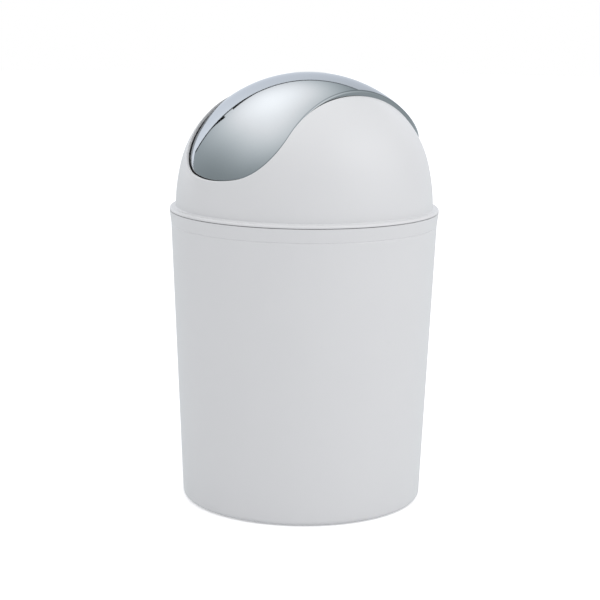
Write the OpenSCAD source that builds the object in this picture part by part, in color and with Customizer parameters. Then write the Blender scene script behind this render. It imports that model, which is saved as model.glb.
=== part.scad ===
// Countertop waste bin with a domed lift-off lid and a chrome swing flap.
// Millimetres, +Z up. Origin: centre of the bucket's foot, on the surface the bin
// stands on. The flap's pivot runs along X, so the bin's front is -Y.
// The flap is drawn as it hangs: a few degrees in at the front, out at the rear.

/* [Bucket] */
// Radius of the bucket wall at the foot, before its corner is rounded
foot_r = 56.3; // [50:0.1:60]
// Radius of the bucket wall under the rim band
wall_top_r = 61.9; // [55:0.1:68]
// How far the rim band stands out from the wall at its top edge, as the lid's flange does
rim_step = 0.8; // [0.5:0.1:1.5]
// Height of the seam between the bucket and the lid flange
seam_z = 136.7; // [110:0.1:170]
// Height of the rim band
band_h = 6.6; // [4:0.1:12]
// Thickness of the bucket wall
bucket_wall = 1.6; // [1.2:0.1:2.2]
// Thickness of the bucket floor
floor_t = 2; // [1.4:0.1:4]
// Radius of the corner between the bucket's wall and foot
foot_corner_r = 2.4; // [1:0.1:4]
// Depth of the recess under the floor
foot_recess = 1; // [0.4:0.1:1.2]
// Width of the ring that the bucket stands on, with its rounded corner
foot_ring_w = 6; // [5:0.1:9]
// Radius of the corner between the bucket's floor and wall, inside
inner_corner_r = 2; // [1:0.1:4]

/* [Lid] */
// Gap between the bucket's rim and the lid's flange
seam_gap = 0.3; // [0.2:0.05:0.5]
// Height of the lid's flange
flange_h = 1.7; // [1.4:0.1:4]
// Radius of the flange's rounded upper edge
flange_edge_r = 1.2; // [0.6:0.1:1.4]
// How far the dome's foot stands in from the bucket's wall
dome_step = 2; // [1.6:0.1:4]
// Lean of the dome at its base, from upright
dome_lean = 0.7; // [0:0.1:3]
// Radius of the dome's lower curve
dome_low_r = 89.3; // [75:0.1:110]
// Angle at which the lower curve runs into the upper one
dome_turn = 14.3; // [11:0.1:18]
// Radius of the dome's upper curve
dome_top_r = 48.1; // [46:0.1:50]
// Thickness of the lid's wall
lid_wall = 1.4; // [1.1:0.1:1.6]
// Depth of the skirt that plugs into the bucket
skirt_h = 7; // [4:0.1:12]
// Thickness of the skirt
skirt_t = 1.3; // [1:0.1:1.6]
// Gap between the skirt and the bucket's wall
skirt_gap = 0.3; // [0.2:0.05:0.5]

/* [Opening] */
// Half width of the opening in the lid
opening_half_w = 30.6; // [29.5:0.1:31.5]
// Height of the opening's lowest point, front and rear
opening_z = 154.4; // [152:0.1:157]
// Radius of the opening's lower corners
opening_corner_r = 20.1; // [16:0.1:24]
// Radius of the shallow curve between those corners
opening_sill_r = 72.6; // [60:0.1:90]

/* [Flap] */
// Gap between the flap and the opening's sides
flap_side_gap = 0.85; // [0.6:0.05:1.5]
// Gap between the upright flap and the opening's lowest point
flap_sill_gap = 3.2; // [3:0.1:4]
// Height of the flap's top, upright
flap_top_z = 199.9; // [199:0.1:201]
// Radius of the flap's front-to-rear curve, along its middle
flap_r = 61; // [55:0.1:66]
// Radius of the flap's crown, across its width
flap_crown_r = 69.2; // [66:0.1:75]
// Thickness of the chrome cover
cover_t = 1.2; // [1:0.1:1.4]
// Thickness of the liner inside the cover
liner_t = 1.4; // [1.2:0.1:1.8]
// Gap between the cover and the liner
liner_gap = 0.15; // [0.1:0.05:0.3]
// Angle at which the flap hangs at rest, front end inwards
hang_angle = 3.6; // [0:0.1:6]
// Largest swing of the flap from upright, each way
swing_max = 38; // [30:1:42]

/* [Pivot] */
// Depth of the pivot's axis below the flap's top
pivot_drop = 14.9; // [14.5:0.1:16]
// Radius of the pivot pins
pin_r = 1.5; // [1.2:0.1:1.8]
// Radius of the pin's head
pin_head_r = 2.6; // [2.2:0.1:3]
// Thickness of the pin's head
pin_head_t = 1; // [0.8:0.1:1.4]
// Running clearance between a pin and its bush
pin_clearance = 0.05; // [0.03:0.01:0.1]
// Wall of the bush
bush_wall = 1; // [0.8:0.1:1.3]
// Thickness of the flap's ears
ear_t = 3; // [2.4:0.1:3.6]
// Radius of an ear round its pin
ear_r = 3.9; // [3.6:0.1:4.4]
// Gap between an ear and its bush
ear_gap = 0.5; // [0.3:0.05:0.8]
// Thickness of the lid's brackets
bracket_t = 4; // [3:0.1:5]
// Distance from the pivot's axis to the swing stops
stop_reach = 9; // [8.5:0.1:10.5]
// Radius of the swing stops
stop_r = 1.5; // [1.2:0.1:1.8]
// Gap left between an ear's finger and its stop at full swing
stop_gap = 0.25; // [0.15:0.05:0.4]
// Half width of the finger under each ear
finger_half_w = 2; // [1.6:0.1:2.4]

/* [Weights] */
// Radius of the steel weights
weight_r = 2; // [1.6:0.1:2.2]
// Length of the front weight
front_weight_l = 27; // [20:0.5:30]
// Length of the rear weight
rear_weight_l = 25; // [20:0.5:30]
// Height of the weights above the flap's lower edge
weight_rise = 6; // [5:0.1:8]
// Distance between the two ribs that hold a weight
rib_span = 16; // [12:0.5:17]
// Thickness of those ribs
rib_t = 2; // [1.6:0.1:2.6]

/* [Hidden] */
$fn = 128;
white = [0.87, 0.87, 0.88];
chrome = [0.72, 0.75, 0.77];
far = 400; // longer than the whole bin: for cutters and half planes
overlap = 0.001; // between two halves of one profile
over = 1; // how far a cutter runs past the face it cuts
fit_gap = 0.05; // between two pieces of one body that touch
bracket_pad = 1.5; // wall of a bracket round its stops
rib_pad = 1.6; // wall of a rib round its weight

// Bucket
rim_r = wall_top_r + rim_step;
rim_z = seam_z - seam_gap;
band_z = seam_z - band_h;
draft = (wall_top_r - foot_r) / band_z;
slant = sqrt(1 + pow(draft, 2));
foot_corner_x = foot_r + draft * foot_corner_r - slant * foot_corner_r;
inner_floor_z = foot_recess + floor_t;
inner_foot_r = foot_r - bucket_wall;
inner_corner_z = inner_floor_z + inner_corner_r;
inner_corner_x = inner_foot_r + draft * inner_corner_z - slant * inner_corner_r;
mouth_r = rim_r - bucket_wall;

// Lid
dome_z = seam_z + flange_h;
dome_base_r = wall_top_r - dome_step;
skirt_r = wall_top_r - bucket_wall - skirt_gap - draft * max(0, skirt_h - band_h);
low_c = [
    dome_base_r - dome_low_r * cos(dome_lean),
    dome_z - dome_low_r * sin(dome_lean)
];
turn = low_c + dome_low_r * [cos(dome_turn), sin(dome_turn)];
top_c = turn - dome_top_r * [cos(dome_turn), sin(dome_turn)];
dome_top_z = top_c[1] + dome_top_r;

// Flap
flap_half_w = opening_half_w - flap_side_gap;
flap_z = opening_z + flap_sill_gap;
flap_centre_z = flap_top_z - flap_r;
flap_corner_r = opening_corner_r - flap_side_gap;
flap_sill_r = opening_sill_r - flap_side_gap;
edge_wall = cover_t;
liner_inset = edge_wall + liner_gap;
liner_r = flap_r - cover_t - liner_gap;
liner_inner_r = liner_r - liner_t;

// Pivot
pivot_z = flap_top_z - pivot_drop;
bracket_x = opening_half_w;
bush_r = pin_r + pin_clearance + bush_wall;
bush_flange_r = bush_r + bush_wall;
ear_x = flap_half_w - liner_inset - ear_t;
bush_flange_t = bracket_x - ear_x - ear_t - ear_gap;
finger_reach = stop_reach + stop_r + stop_gap;
stop_angle = swing_max + asin((finger_half_w + stop_r + stop_gap) / stop_reach);
stop_y = stop_reach * sin(stop_angle);
stop_z = pivot_z - stop_reach * cos(stop_angle);
bracket_half_w = stop_y + stop_r + bracket_pad;
bracket_low_z = stop_z - stop_r - bracket_pad;

// Weights
weight_z = flap_z + weight_rise;
weight_crown = flap_crown_r - sqrt(pow(flap_crown_r, 2) - pow(front_weight_l / 2, 2));
weight_reach = liner_inner_r - weight_crown - liner_gap - weight_r;
weight_y = sqrt(pow(weight_reach, 2) - pow(weight_z - flap_centre_z, 2));

// ---- profiles ----

// Right half of the dome's outline, drawn in by t: an upright lower curve that
// turns into a rounder upper one.
module dome_half(t = 0) {
    intersection() {
        union() {
            intersection() {
                translate(low_c) circle(dome_low_r - t, $fn = 360);
                translate([0, -far]) square([far, far + turn[1]]);
            }
            intersection() {
                translate(top_c) circle(dome_top_r - t, $fn = 360);
                translate([0, turn[1] - overlap]) square([far, far]);
            }
            translate([0, dome_z - flange_h]) square([top_c[0], dome_top_z - dome_z + flange_h - t]);
        }
        translate([0, seam_z - skirt_h]) square([far, far]);
    }
}

// Outline of the opening, seen from the front: straight sides, round lower corners
// and a shallow curve between them. The flap's outline is the same one, smaller.
module sill_outline(half_w, low_z, corner_r, sill_r) {
    corner_x = half_w - corner_r;
    drop = sqrt(pow(sill_r - corner_r, 2) - pow(corner_x, 2));
    corner_z = low_z + sill_r - drop;
    touch = corner_r / drop;
    translate([-half_w, corner_z]) square([2 * half_w, far]);
    for (side = [-1, 1]) {
        translate([side * corner_x, corner_z]) circle(corner_r, $fn = 180);
    }
    intersection() {
        translate([0, low_z + sill_r]) circle(sill_r, $fn = 360);
        polygon([
            [0, low_z + sill_r],
            [-(corner_x + corner_x * touch), corner_z - corner_r],
            [0, low_z - corner_r],
            [corner_x + corner_x * touch, corner_z - corner_r]
        ]);
    }
}

// The outline carried from the front of the bin to its rear.
module through_bin(half_w, low_z, corner_r, sill_r) {
    translate([0, far / 2, 0]) rotate([90, 0, 0]) linear_extrude(far)
        sill_outline(half_w, low_z, corner_r, sill_r);
}

// Solid barrel about an axis along X, through the centre of the flap's curve:
// radius r in the middle, falling away to the sides with the crown.
module barrel(r, half_w) {
    crown_r = flap_crown_r - (flap_r - r);
    translate([0, 0, flap_centre_z]) rotate([0, 90, 0]) rotate_extrude($fn = 360)
        intersection() {
            translate([r - crown_r, 0]) circle(crown_r, $fn = 360);
            translate([0, -half_w]) square([far, 2 * half_w]);
        }
}

// Turns what belongs to the flap from upright to the angle it hangs at.
module hanging() {
    translate([0, 0, pivot_z]) rotate([hang_angle, 0, 0]) translate([0, 0, -pivot_z]) children();
}

// Cutter for a bore along X, from -half_l to half_l.
module cross_bore(r, half_l, y, z) {
    translate([-half_l, y, z]) rotate([0, 90, 0]) cylinder(r = r, h = 2 * half_l, $fn = 64);
}

// ---- sub-parts ----

// Half section of the space inside the bucket.
module bucket_inside() {
    translate([inner_corner_x, inner_corner_z]) circle(inner_corner_r);
    polygon([
        [-over, inner_floor_z], [inner_corner_x, inner_floor_z],
        [inner_corner_x + inner_corner_r / slant, inner_corner_z - inner_corner_r * draft / slant],
        [wall_top_r - bucket_wall, band_z], [mouth_r, band_z + bucket_wall],
        [mouth_r, rim_z + over], [-over, rim_z + over]
    ]);
}

module bucket() {
    color(white)
    rotate_extrude($fn = 360) difference() {
        union() {
            translate([foot_corner_x, foot_corner_r]) circle(foot_corner_r);
            polygon([
                [0, foot_recess], [foot_r - foot_ring_w, foot_recess],
                [foot_r - foot_ring_w, 0], [foot_corner_x, 0],
                [foot_corner_x + foot_corner_r / slant, foot_corner_r - foot_corner_r * draft / slant],
                [wall_top_r, band_z], [rim_r, rim_z], [0, rim_z]
            ]);
        }
        bucket_inside();
    }
}

// Half section of the lid's flange, with its upper edge rounded.
module flange() {
    translate([0, seam_z]) square([rim_r, flange_h - flange_edge_r]);
    translate([0, seam_z]) square([rim_r - flange_edge_r, flange_h]);
    translate([rim_r - flange_edge_r, dome_z - flange_edge_r]) intersection() {
        circle(flange_edge_r, $fn = 64);
        square(flange_edge_r);
    }
}

module lid_shell() {
    difference() {
        rotate_extrude($fn = 360) difference() {
            union() {
                intersection() {
                    dome_half();
                    translate([0, seam_z]) square([far, far]);
                }
                flange();
                translate([0, seam_z - skirt_h]) square([skirt_r, skirt_h]);
            }
            intersection() {
                dome_half(lid_wall);
                translate([0, seam_z]) square([far, far]);
            }
            translate([-over, seam_z - skirt_h - over])
                square([skirt_r - skirt_t + over, skirt_h + over + flange_h / 2]);
        }
        through_bin(opening_half_w, opening_z, opening_corner_r, opening_sill_r);
    }
}

// Plate under one shoulder of the lid, with the bush's bore and two swing stops.
module bracket() {
    intersection() {
        rotate_extrude($fn = 360) intersection() {
            dome_half(lid_wall / 2);
            translate([0, seam_z]) square([far, far]);
        }
        translate([bracket_x, -bracket_half_w, bracket_low_z])
            cube([bracket_t, 2 * bracket_half_w, far]);
    }
    for (side = [-1, 1]) {
        translate([ear_x, side * stop_y, stop_z]) rotate([0, 90, 0])
            cylinder(r = stop_r, h = bracket_x - ear_x + over, $fn = 48);
    }
}

module lid_dome() {
    color(white) difference() {
        union() {
            lid_shell();
            for (side = [0, 1]) mirror([side, 0, 0]) bracket();
        }
        cross_bore(bush_r + fit_gap, bracket_x + bracket_t, 0, pivot_z);
    }
}

module flap_cover() {
    color(chrome) hanging() difference() {
        intersection() {
            barrel(flap_r, flap_half_w);
            through_bin(flap_half_w, flap_z, flap_corner_r, flap_sill_r);
        }
        intersection() {
            barrel(flap_r - cover_t, flap_half_w);
            through_bin(flap_half_w - edge_wall, flap_z + edge_wall,
                flap_corner_r - edge_wall, flap_sill_r - edge_wall);
        }
        barrel(liner_inner_r, flap_half_w + over);
    }
}

// Lug under one side of the liner: it holds the pivot pin, and the finger below the
// pin meets the lid's stops.
module ear() {
    translate([ear_x, -ear_r, pivot_z]) cube([ear_t, 2 * ear_r, far]);
    translate([ear_x, 0, pivot_z]) rotate([0, 90, 0]) cylinder(r = ear_r, h = ear_t, $fn = 64);
    translate([ear_x, -finger_half_w, pivot_z - finger_reach + finger_half_w])
        cube([ear_t, 2 * finger_half_w, finger_reach - finger_half_w]);
    translate([ear_x, 0, pivot_z - finger_reach + finger_half_w]) rotate([0, 90, 0])
        cylinder(r = finger_half_w, h = ear_t, $fn = 48);
}

module flap_liner() {
    color(white) hanging() difference() {
        union() {
            difference() {
                intersection() {
                    barrel(liner_r, flap_half_w - liner_inset);
                    through_bin(flap_half_w - liner_inset, flap_z + liner_inset,
                        flap_corner_r - liner_inset, flap_sill_r - liner_inset);
                }
                barrel(liner_inner_r, flap_half_w);
            }
            intersection() {
                barrel(liner_inner_r + liner_t / 2, flap_half_w);
                union() {
                    for (side = [0, 1]) mirror([side, 0, 0]) ear();
                    for (front = [0, 1], side = [-1, 1]) mirror([0, front, 0])
                        translate([side * rib_span / 2 - rib_t / 2, weight_y - weight_r - rib_pad,
                            weight_z - weight_r - rib_pad])
                            cube([rib_t, far, 2 * (weight_r + rib_pad)]);
                }
            }
        }
        cross_bore(pin_r + fit_gap, ear_x + ear_t + over, 0, pivot_z);
        for (front = [-1, 1])
            cross_bore(weight_r + fit_gap, rib_span / 2 + rib_t, front * weight_y, weight_z);
    }
}

// One pivot pin on the +X side: a head inside the ear, a shank out through the bush.
module pivot_pin() {
    translate([ear_x - pin_head_t, 0, pivot_z]) rotate([0, 90, 0]) {
        cylinder(r = pin_head_r, h = pin_head_t - fit_gap, $fn = 64);
        cylinder(r = pin_r, h = pin_head_t + bracket_x + bracket_t - ear_x, $fn = 64);
    }
}

module pivot_bush() {
    translate([bracket_x - bush_flange_t, 0, pivot_z]) rotate([0, 90, 0]) difference() {
        union() {
            cylinder(r = bush_flange_r, h = bush_flange_t - fit_gap, $fn = 64);
            cylinder(r = bush_r, h = bush_flange_t + bracket_t, $fn = 64);
        }
        translate([0, 0, -over])
            cylinder(r = pin_r + pin_clearance, h = bush_flange_t + bracket_t + 2 * over, $fn = 64);
    }
}

module weight(length, front) {
    translate([-length / 2, front * weight_y, weight_z]) rotate([0, 90, 0])
        cylinder(r = weight_r, h = length, $fn = 64);
}

module pivot_pin_left() { color("silver") hanging() mirror([1, 0, 0]) pivot_pin(); }
module pivot_pin_right() { color("silver") hanging() pivot_pin(); }
module pivot_bush_left() { color("ivory") mirror([1, 0, 0]) pivot_bush(); }
module pivot_bush_right() { color("ivory") pivot_bush(); }
module flap_weight_front() { color("gray") hanging() weight(front_weight_l, -1); }
module flap_weight_rear() { color("gray") hanging() weight(rear_weight_l, 1); }

bucket();
lid_dome();
flap_cover();
flap_liner();
pivot_pin_left();
pivot_pin_right();
pivot_bush_left();
pivot_bush_right();
flap_weight_front();
flap_weight_rear();
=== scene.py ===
# %% [markdown]
# # A countertop swing-lid bin
# This file dresses a small round waste bin: a tapered white bucket, a domed white lid that
# lifts off, and a curved chrome flap that swings both ways. The solids of the bin are
# already made and come in as a fixed frame. What is made here is what the eye sees:
# smooth skins with rounded lips that take the place of the plain solids, and finishes.
# Sizes are written in millimetres, as a maker would, and MM turns the points of a skin into
# metres when its mesh is made. Finishes, camera, floor and lamps are written in metres.

import bpy
import numpy as np
from mathutils import Matrix


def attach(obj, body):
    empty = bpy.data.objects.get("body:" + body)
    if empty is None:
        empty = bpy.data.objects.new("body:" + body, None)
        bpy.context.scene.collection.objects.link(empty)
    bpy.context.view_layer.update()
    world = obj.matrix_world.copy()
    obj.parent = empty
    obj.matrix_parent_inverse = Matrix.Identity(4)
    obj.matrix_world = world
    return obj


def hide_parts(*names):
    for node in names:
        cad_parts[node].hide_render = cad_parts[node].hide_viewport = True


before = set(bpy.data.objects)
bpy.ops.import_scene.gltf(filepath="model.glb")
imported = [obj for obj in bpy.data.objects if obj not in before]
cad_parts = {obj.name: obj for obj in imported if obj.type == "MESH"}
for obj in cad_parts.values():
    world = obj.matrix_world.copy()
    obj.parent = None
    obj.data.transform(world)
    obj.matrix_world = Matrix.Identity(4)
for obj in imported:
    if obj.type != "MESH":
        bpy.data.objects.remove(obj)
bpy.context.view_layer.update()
MM = 0.001
print("solids in the frame:", ", ".join(sorted(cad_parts)))

# %% [markdown]
# ## Sizes
# These are the sizes of the solids, repeated so that each skin lies on its solid.
# The dome of the lid is two arcs that run into each other without a kink. The opening is a
# straight-sided U seen from the front, cut right through to the rear. The flap is a barrel
# shape about an axis along X, cut to the same outline, a little smaller.

# %% Sizes of the bin, in millimetres
# The bucket: its radii at the foot, under the rim band and at the rim, then the rest.
FOOT_R, WALL_TOP_R, RIM_R = 56.3, 61.9, 62.7
SEAM_Z, BAND_H, BUCKET_WALL, FLOOR_T = 136.7, 6.6, 1.6, 2.0
FOOT_CORNER_R, FOOT_RECESS, FOOT_RING_W, INNER_CORNER_R = 2.4, 1.0, 6.0, 2.0
# The lid: its seam and flange, the two arcs of its dome, its skirt and its opening.
SEAM_GAP, FLANGE_H, FLANGE_EDGE_R = 0.3, 1.7, 1.2
DOME_BASE_R, DOME_LEAN, DOME_LOW_R, DOME_TURN, DOME_TOP_R = 59.9, 0.7, 89.3, 14.3, 48.1
LID_WALL, SKIRT_H, SKIRT_T, SKIRT_GAP = 1.4, 7.0, 1.3, 0.3
OPENING_HALF_W, OPENING_Z, OPENING_CORNER_R, OPENING_SILL_R = 30.6, 154.4, 20.1, 72.6
# The flap: its place in the opening, its barrel, its cover and its liner.
FLAP_SIDE_GAP, FLAP_SILL_GAP, FLAP_CENTRE_Z, FLAP_R, FLAP_CROWN_R = 0.85, 3.2, 138.9, 61.0, 69.2
COVER_T, LINER_T, LINER_GAP, HANG_ANGLE = 1.2, 1.4, 0.15, 3.6
# The works: pivot pins, bushes, ears, brackets, stops, weights and ribs.
PIVOT_Z, PIN_R, PIN_HEAD_R, PIN_HEAD_T, PIN_CLEARANCE = 185.0, 1.5, 2.6, 1.0, 0.05
BUSH_WALL, EAR_T, EAR_R, EAR_GAP, BRACKET_T = 1.0, 3.0, 3.9, 0.5, 4.0
STOP_REACH, STOP_R, STOP_GAP, FINGER_HALF_W, SWING_MAX = 9.0, 1.5, 0.25, 2.0, 38.0
WEIGHT_R, FRONT_WEIGHT_L, REAR_WEIGHT_L, WEIGHT_RISE = 2.0, 27.0, 25.0, 6.0
RIB_SPAN, RIB_T = 16.0, 2.0
# Two skins that touch are kept this far apart, so that they never lie in one surface.
SKIN_GAP = 0.05

RIM_Z, BAND_Z, DOME_Z = SEAM_Z - SEAM_GAP, SEAM_Z - BAND_H, SEAM_Z + FLANGE_H
FLAP_HALF_W, FLAP_Z = OPENING_HALF_W - FLAP_SIDE_GAP, OPENING_Z + FLAP_SILL_GAP
DRAFT = (WALL_TOP_R - FOOT_R) / BAND_Z
SKIRT_R = WALL_TOP_R - BUCKET_WALL - SKIRT_GAP - DRAFT * (SKIRT_H - BAND_H)
LINER_INSET = COVER_T + LINER_GAP
LINER_R = FLAP_R - LINER_INSET
BRACKET_X, EAR_X = OPENING_HALF_W, FLAP_HALF_W - LINER_INSET - EAR_T
BUSH_FLANGE_T = BRACKET_X - EAR_X - EAR_T - EAR_GAP
BUSH_R = PIN_R + PIN_CLEARANCE + BUSH_WALL
print("flap:", 2 * FLAP_HALF_W, "mm wide, pivot", PIVOT_Z, "mm up")

# %% [markdown]
# ## From numbers to a mesh
# Every skin is a grid: rows run along a profile and columns run round the piece. One
# function turns a grid of points into faces, so no face is ever listed by hand.

# %% Grids, poles and pieces
def grid_faces(rows, cols, wrap_rows=False, wrap_cols=False, first=0):
    """Quads of a grid whose point (i, j) has the number first + i * cols + j. A wrapped
    side joins its last line back to its first."""
    i = np.arange(rows if wrap_rows else rows - 1)[:, None]
    j = np.arange(cols if wrap_cols else cols - 1)[None, :]
    i2, j2 = (i + 1) % rows, (j + 1) % cols
    quads = np.stack([i * cols + j, i * cols + j2, i2 * cols + j2, i2 * cols + j], -1)
    return quads.reshape(-1, 4) + first


def pole_faces(ring_first, cols, pole, flip=False):
    """Triangles that close a ring of cols points onto one pole point."""
    j = np.arange(cols)
    tris = np.stack([ring_first + j, ring_first + (j + 1) % cols, np.full(cols, pole)], -1)
    return tris[:, ::-1] if flip else tris


def make_piece(name, points, faces, body, node):
    """Makes a smooth-shaded mesh piece from points in millimetres (n, 3) and a list of face
    arrays. It rides on a body and stands in for a solid; its finish is put on further down."""
    mesh = bpy.data.meshes.new(name)
    sizes = np.concatenate([np.full(len(f), f.shape[1]) for f in faces])
    corners = np.concatenate([f.reshape(-1) for f in faces])
    starts = np.concatenate([[0], np.cumsum(sizes)[:-1]])
    mesh.vertices.add(len(points))
    mesh.vertices.foreach_set("co", (np.asarray(points, float) * MM).reshape(-1))
    mesh.loops.add(len(corners))
    mesh.loops.foreach_set("vertex_index", corners.astype(np.int32))
    mesh.polygons.add(len(sizes))
    mesh.polygons.foreach_set("loop_start", starts.astype(np.int32))
    mesh.update(calc_edges=True)
    mesh.validate()
    mesh.polygons.foreach_set("use_smooth", np.ones(len(mesh.polygons), bool))
    piece = bpy.data.objects.new(name, mesh)
    bpy.context.scene.collection.objects.link(piece)
    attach(piece, body)
    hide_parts(node)
    tris = int((sizes - 2).sum())
    volume = signed_volume(points, faces)
    print(f"{name}: {len(points)} points, {tris} triangles, {volume / 1000:.2f} cm3")


def signed_volume(points, faces):
    """Volume inside closed faces: a sixth of the sum of the triple products of each
    triangle's corners. It is positive when the faces point outwards."""
    total = 0.0
    for f in faces:
        for k in range(1, f.shape[1] - 1):
            a, b, c = points[f[:, 0]], points[f[:, k]], points[f[:, k + 1]]
            total += np.einsum("ij,ij->i", a, np.cross(b, c)).sum() / 6
    return total


def outward(points, faces):
    """The same faces, turned over if they point inwards."""
    return faces if signed_volume(points, faces) > 0 else [f[:, ::-1] for f in faces]


print("a grid of 3 by 4 points has", len(grid_faces(3, 4)), "faces")

# %% Rounded profiles
def rounded(corners, step=0.12, spacing=2.5):
    """A profile through corners, each given as two coordinates and the radius of its
    rounding; the two end corners stay sharp. The arc at a corner starts radius / tan(half the
    angle) before it, and ends as far behind it; its points are at most step radians apart,
    and long straight runs get points at the spacing."""
    corners = np.asarray(corners, float)
    pts = [corners[0, :2]]
    for before, corner, after in zip(corners[:-2], corners[1:-1], corners[2:]):
        here, radius = corner[:2], corner[2]
        u, v = before[:2] - here, after[:2] - here
        u, v = u / np.linalg.norm(u), v / np.linalg.norm(v)
        half = 0.5 * np.arccos(np.clip(u @ v, -1, 1))
        if radius == 0 or half > 0.5 * np.pi - 1e-4:
            pts.append(here)
            continue
        centre = here + (u + v) / np.linalg.norm(u + v) * radius / np.sin(half)
        start, end = here + u * radius / np.tan(half), here + v * radius / np.tan(half)
        a0 = np.arctan2(*(start - centre)[::-1])
        turn = (np.arctan2(*(end - centre)[::-1]) - a0 + np.pi) % (2 * np.pi) - np.pi
        angles = a0 + turn * np.linspace(0, 1, max(3, int(abs(turn) / step) + 2))
        pts.extend(centre + radius * np.stack([np.cos(angles), np.sin(angles)], -1))
    pts.append(corners[-1, :2])
    filled = [pts[0]]
    for a, b in zip(pts[:-1], pts[1:]):
        parts = max(1, int(np.linalg.norm(b - a) / spacing))
        filled.extend(a + (b - a) * t for t in np.linspace(0, 1, parts + 1)[1:])
    return np.array(filled)


def lathe(profile, cols, axis="z", offset=(0.0, 0.0, 0.0)):
    """Points and faces of a profile (radius, height) turned once round an axis. Its ends
    lie on the axis and become the two poles. Round Z a point is (r cos a, r sin a, h), and
    round X it is (h, r cos a, r sin a)."""
    profile = np.asarray(profile, float)
    r, h = profile[1:-1, 0][:, None], profile[1:-1, 1][:, None]
    a = np.linspace(0, 2 * np.pi, cols, endpoint=False)[None, :]
    ca, sa, hh = r * np.cos(a), r * np.sin(a), h + 0 * a
    ring = np.stack([ca, sa, hh] if axis == "z" else [hh, ca, sa], -1).reshape(-1, 3)
    ends = [[0, 0, profile[k, 1]] if axis == "z" else [profile[k, 1], 0, 0] for k in (0, -1)]
    points = np.concatenate([ring, ends]) + np.asarray(offset)
    n = len(ring)
    faces = [grid_faces(len(profile) - 2, cols, wrap_cols=True),
             pole_faces(0, cols, n, flip=True), pole_faces(n - cols, cols, n + 1)]
    return points, outward(points, faces)


print("a right angle rounded by 2 mm has", len(rounded([(0, 0, 0), (5, 0, 2), (5, 5, 0)])), "points")

# %% [markdown]
# ## The bucket
# A moulded bucket is a single thin wall. Its profile runs from the middle of the underside
# out to the foot ring, up the leaning wall, over the thin rim band, down inside and back to
# the middle of the floor. Turning that profile once gives the whole piece. Moulded plastic
# has no sharp corners, so each corner gets its own small radius.

# %% Make the bucket
# The mark that the mould's gate leaves is a low ring in the middle of the underside. The rim
# band starts at a shallow groove.
MARK_IN_R, MARK_OUT_R, MARK_H, MARK_SLOPE = 3.4, 6.5, 0.35, 0.5
GROOVE_UNDER, GROOVE_OVER, GROOVE_DEPTH, BAND_STEP = 0.35, 0.3, 0.18, 0.06
FLOOR_EDGE_OUT, BUCKET_COLS = 0.1, 256


def bucket_profile():
    """The bucket's section, from the axis below the floor to the axis above it. Each corner
    is a distance from the axis, a height and a rounding."""
    mark_z, floor_z = FOOT_RECESS - MARK_H, FOOT_RECESS + FLOOR_T
    return rounded([
        (0, FOOT_RECESS, 0), (MARK_IN_R, FOOT_RECESS, 0.2),
        (MARK_IN_R + MARK_SLOPE, mark_z, 0.15), (MARK_OUT_R - MARK_SLOPE, mark_z, 0.15),
        (MARK_OUT_R, FOOT_RECESS, 0.2), (FOOT_R - FOOT_RING_W, FOOT_RECESS, 0.4),
        (FOOT_R - FOOT_RING_W, 0, 0.3), (FOOT_R, 0, FOOT_CORNER_R),
        (WALL_TOP_R, BAND_Z - GROOVE_UNDER, 0.3), (WALL_TOP_R - GROOVE_DEPTH, BAND_Z, 0.1),
        (WALL_TOP_R + BAND_STEP, BAND_Z + GROOVE_OVER, 0.15), (RIM_R, RIM_Z, 0.1),
        (RIM_R - BUCKET_WALL, RIM_Z, 0.45), (RIM_R - BUCKET_WALL, BAND_Z + BUCKET_WALL, 1.0),
        (WALL_TOP_R - BUCKET_WALL, BAND_Z, 1.0),
        (FOOT_R - BUCKET_WALL + FLOOR_EDGE_OUT, floor_z, INNER_CORNER_R), (0, floor_z, 0),
    ])


bucket_points, bucket_faces = lathe(bucket_profile(), BUCKET_COLS)
make_piece("bucket_skin", bucket_points, bucket_faces, "bucket", "bucket")

# %% [markdown]
# ## The opening's outline
# The lid's opening and the flap share one outline: straight sides, round lower corners and a
# shallow sill between them. Both pieces need two things from it: the height of its lower
# edge at a given x, and the direction that its wall faces.

# %% The outline as functions
class Outline:
    """A U seen from the front. Its half width is half_w and its lowest point low. Each lower
    corner is an arc of radius corner_r about (half_w - corner_r, corner_z), and the sill
    between them is an arc of radius sill_r that touches both at touch_x from the middle."""

    def __init__(self, half_w, low, corner_r, sill_r):
        self.half_w, self.low, self.corner_r, self.sill_r = half_w, low, corner_r, sill_r
        self.corner_x = half_w - corner_r
        drop = np.sqrt((sill_r - corner_r) ** 2 - self.corner_x ** 2)
        self.corner_z = low + sill_r - drop
        self.touch_x = self.corner_x + corner_r * self.corner_x / (sill_r - corner_r)

    def edge(self, x):
        """Height of the lower edge: on the sill it is low + sill_r - sqrt(sill_r^2 - x^2), and
        on a corner it is corner_z - sqrt(corner_r^2 - (|x| - corner_x)^2)."""
        ax = np.minimum(np.abs(x), self.half_w)
        on_sill = np.minimum(ax, self.touch_x)
        sill = self.low + self.sill_r - np.sqrt(self.sill_r ** 2 - on_sill ** 2)
        under = np.maximum(self.corner_r ** 2 - (ax - self.corner_x) ** 2, 0)
        return np.where(ax < self.touch_x, sill, self.corner_z - np.sqrt(under))

    def inward(self, x, z):
        """Unit direction (x, z) from the outline's edge into the opening: towards the centre
        of the sill's or the corner's arc, or level where the side is straight."""
        side, ax = np.where(x < 0, -1.0, 1.0), np.abs(x)
        on_sill = (ax < self.touch_x) & (z < self.corner_z)
        on_side = z >= self.corner_z
        corner_vx = side * (self.corner_x - ax) / self.corner_r
        corner_vz = (self.corner_z - z) / self.corner_r
        vx = np.where(on_sill, -x / self.sill_r, np.where(on_side, -side, corner_vx))
        sill_vz = (self.low + self.sill_r - z) / self.sill_r
        vz = np.where(on_sill, sill_vz, np.where(on_side, 0, corner_vz))
        norm = np.hypot(vx, vz)
        return vx / norm, vz / norm


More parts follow.
